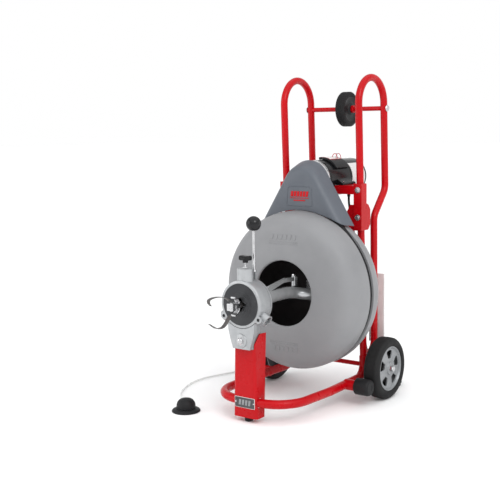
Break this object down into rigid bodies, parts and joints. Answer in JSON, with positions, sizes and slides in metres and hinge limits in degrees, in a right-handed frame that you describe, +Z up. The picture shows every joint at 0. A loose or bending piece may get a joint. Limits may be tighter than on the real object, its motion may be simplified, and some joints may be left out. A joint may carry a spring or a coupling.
{
  "type": "drum drain cleaning machine",
  "caption": "Upright drum drain cleaning machine on a red tube frame with transport wheels, belt-driven cable drum, motor, feed head with lever, cutter and air foot pedal.",
  "frame": {"origin": "on the floor, on the machine's centre plane and midway along its depth from the cutter's front to the loading wheel's rear", "axes": "+Z up; -Y is the way the cable leaves the feed head; +Y is the handle and motor side; +X is to the right seen from behind the handles, facing the drum"},
  "size_m": [0.7368, 0.9632, 1.1461],
  "materials": {
    "red_paint": "bright red gloss powder coat",
    "motor_paint": "black gloss paint",
    "drum_plastic": "light grey moulded plastic, fine grain",
    "guard_plastic": "slate grey moulded plastic",
    "cast_alloy": "cast and satin machined",
    "steel": "bright steel",
    "dark_steel": "dark oiled steel",
    "tyre_rubber": "black ribbed tyre",
    "black_rubber": "black rubber",
    "black_plastic": "black moulded plastic",
    "knob_gloss": "polished black ball",
    "nylon": "white nylon strip",
    "hose_plastic": "clear pale grey hose"
  },
  "bodies": {
    "machine": {"air_hose": "hose_plastic", "air_hose_fitting": "black_plastic", "axle": "red_paint", "axle_nut_left": "steel", "axle_nut_right": "steel", "base_tube": "red_paint", "bearing_panel": "red_paint", "belt_guard": "guard_plastic", "bumper_left": "black_rubber", "bumper_right": "black_rubber", "cord_gland": "black_plastic", "crossbar": "red_paint", "drive_belt": "black_rubber", "drum_bearing": "steel", "feed_head_disc": "dark_steel", "feed_head_housing": "cast_alloy", "frame_tube_left": "red_paint", "frame_tube_right": "red_paint", "front_post": "red_paint", "glide_left": "nylon", "glide_right": "nylon", "head_yoke": "cast_alloy", "motor_core": "dark_steel", "motor_cover": "motor_paint", "motor_end_plate": "cast_alloy", "motor_plate": "red_paint", "pedal_base": "black_rubber", "power_cord": "black_rubber", "power_cord_coil": "black_rubber", "power_plug": "black_plastic", "rubber_foot": "black_rubber", "side_bracket_left": "red_paint", "side_bracket_right": "red_paint", "switch_box": "black_plastic"},
    "drum": {"drum_front_half": "drum_plastic", "drum_rear_half": "drum_plastic", "drum_hub_shaft": "steel", "cable_coil": "dark_steel"},
    "cable_and_guide": {"guide_tube": "cast_alloy", "cable_feed": "dark_steel", "cable_coupling": "steel", "cutter_blade_upper": "dark_steel", "cutter_blade_lower": "dark_steel"},
    "motor_drive": {"motor_pulley": "cast_alloy", "motor_shaft": "steel"},
    "wheel_left": {"tyre_left": "tyre_rubber", "wheel_hub_left": "cast_alloy"},
    "wheel_right": {"tyre_right": "tyre_rubber", "wheel_hub_right": "cast_alloy"},
    "loader": {"loading_wheel": "black_rubber"},
    "feed_lever": {"lever_ring": "cast_alloy", "lever_rod": "steel", "lever_knob": "knob_gloss"},
    "screw_knob": {"tension_knob": "black_plastic"},
    "plunger": {"roller_plunger": "cast_alloy"},
    "upper_roller": {"top_roller": "steel"},
    "left_roller": {"lower_roller_left": "steel"},
    "right_roller": {"lower_roller_right": "steel"},
    "switch_lever": {"toggle_switch": "steel"},
    "pedal_button": {"pedal_bulb": "black_rubber"}
  },
  "joints": [
    {"name": "drum_spin", "type": "hinge", "parent": "machine", "child": "drum", "pos_m": [0, 0.2001, 0.397], "axis": [0, 1, 0], "continuous": true},
    {"name": "cable_spin", "type": "hinge", "parent": "machine", "child": "cable_and_guide", "pos_m": [0, -0.2174, 0.397], "axis": [0, 1, 0], "continuous": true},
    {"name": "motor_spin", "type": "hinge", "parent": "machine", "child": "motor_drive", "pos_m": [0, 0.1326, 0.78], "axis": [0, 1, 0], "continuous": true},
    {"name": "wheel_left_spin", "type": "hinge", "parent": "machine", "child": "wheel_left", "pos_m": [-0.2415, 0.2402, 0.11], "axis": [1, 0, 0], "continuous": true},
    {"name": "wheel_right_spin", "type": "hinge", "parent": "machine", "child": "wheel_right", "pos_m": [0.2415, 0.2402, 0.11], "axis": [1, 0, 0], "continuous": true},
    {"name": "loading_wheel_spin", "type": "hinge", "parent": "machine", "child": "loader", "pos_m": [0.003, 0.38477, 1.0265], "axis": [1, 0, 0], "continuous": true},
    {"name": "feed_lever_swing", "type": "hinge", "parent": "machine", "child": "feed_lever", "pos_m": [0, -0.2211, 0.397], "axis": [0, 1, 0], "range_deg": [-25, 25]},
    {"name": "tension_knob_turn", "type": "hinge", "parent": "machine", "child": "screw_knob", "pos_m": [0, -0.2544, 0.547], "axis": [0, 0, 1], "range_deg": [0, 540]},
    {"name": "roller_plunger_travel", "type": "slide", "parent": "machine", "child": "plunger", "axis": [0, 0, -1], "range_m": [0, 0.00224]},
    {"name": "top_roller_spin", "type": "hinge", "parent": "plunger", "child": "upper_roller", "pos_m": [0, -0.2544, 0.4185], "axis": [0, 1, 0], "continuous": true},
    {"name": "lower_roller_left_spin", "type": "hinge", "parent": "machine", "child": "left_roller", "pos_m": [-0.01689, -0.2544, 0.38725], "axis": [0, 1, 0], "continuous": true},
    {"name": "lower_roller_right_spin", "type": "hinge", "parent": "machine", "child": "right_roller", "pos_m": [0.01689, -0.2544, 0.38725], "axis": [0, 1, 0], "continuous": true},
    {"name": "toggle_switch_throw", "type": "hinge", "parent": "machine", "child": "switch_lever", "pos_m": [0.0235, 0.2746, 0.8523], "axis": [1, 0, 0], "range_deg": [-17, 17]},
    {"name": "pedal_press", "type": "slide", "parent": "machine", "child": "pedal_button", "axis": [0, 0, -1], "range_m": [0, 0.008], "stiffness_N_per_m": 1500, "springref_m": -0.002}
  ],
  "couplings": [
    {"joint": "cable_spin", "follows": "drum_spin", "ratio": 1},
    {"joint": "motor_spin", "follows": "drum_spin", "ratio": 9.844},
    {"joint": "tension_knob_turn", "follows": "roller_plunger_travel", "rad_per_m": 4200}
  ]
}
